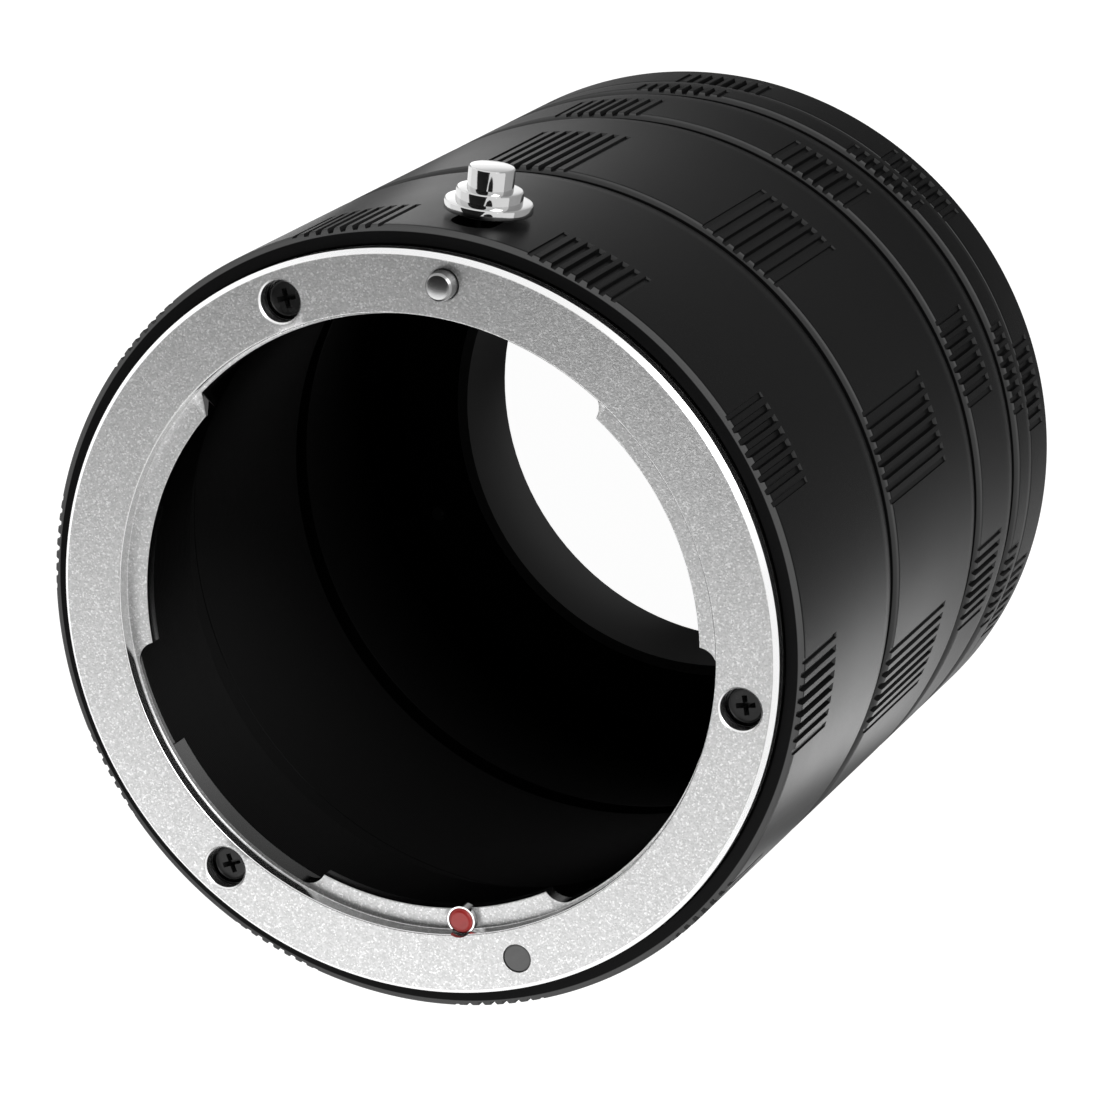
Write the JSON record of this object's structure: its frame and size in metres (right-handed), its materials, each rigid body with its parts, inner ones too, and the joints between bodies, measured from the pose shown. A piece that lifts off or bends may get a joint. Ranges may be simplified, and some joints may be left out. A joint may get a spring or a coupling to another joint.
{
  "type": "macro extension tube",
  "caption": "Black macro extension tube set, screwed together in sections with gripped rims, a silver bayonet ring in front and a bayonet spigot behind.",
  "frame": {"origin": "on the optical axis, at the free end of the camera bayonet", "axes": "+Z along the optical axis from the camera to the lens, +Y towards the release stud"},
  "size_m": [0.06, 0.0636, 0.0714],
  "materials": {
    "black_anodised": "satin",
    "blasted_steel": "fine blasted satin",
    "satin_steel": "satin",
    "polished_chrome": "polished",
    "spring_steel": "satin",
    "black_steel": "satin black",
    "red_enamel": "gloss",
    "grey_enamel": "satin"
  },
  "bodies": {
    "camera_side": {"camera_side_barrel": "black_anodised", "camera_bayonet": "satin_steel", "plate_screw_1": "black_steel", "plate_screw_2": "black_steel", "plate_screw_3": "black_steel", "plate_screw_4": "black_steel"},
    "adapter": {"adapter_ring": "black_anodised"},
    "short_section": {"short_tube": "black_anodised"},
    "long_section": {"long_tube": "black_anodised"},
    "lens_side": {"lens_side_barrel": "black_anodised", "lens_mount_ring": "blasted_steel", "red_index_dot": "red_enamel", "dark_index_dot": "grey_enamel", "lock_spring": "spring_steel", "ring_screw_1": "black_steel", "ring_screw_2": "black_steel", "ring_screw_3": "black_steel", "leaf_spring_1": "spring_steel", "leaf_spring_2": "spring_steel", "leaf_spring_3": "spring_steel"},
    "lens_lock": {"lock_pin": "polished_chrome", "pin_carriage": "satin_steel", "release_stud": "polished_chrome"}
  },
  "joints": [
    {"name": "adapter_screw_joint", "type": "slide", "parent": "camera_side", "child": "adapter", "axis": [0, 0, 1], "range_m": [0, 0.01]},
    {"name": "short_tube_screw_joint", "type": "slide", "parent": "adapter", "child": "short_section", "axis": [0, 0, 1], "range_m": [0, 0.01]},
    {"name": "long_tube_screw_joint", "type": "slide", "parent": "short_section", "child": "long_section", "axis": [0, 0, 1], "range_m": [0, 0.01]},
    {"name": "lens_side_screw_joint", "type": "slide", "parent": "long_section", "child": "lens_side", "axis": [0, 0, 1], "range_m": [0, 0.01]},
    {"name": "lock_slide", "type": "slide", "parent": "lens_side", "child": "lens_lock", "axis": [0, 0, -1], "range_m": [0, 0.0016], "stiffness_N_per_m": 400, "springref_m": -0.0015, "deforming": ["lock_spring"]}
  ]
}
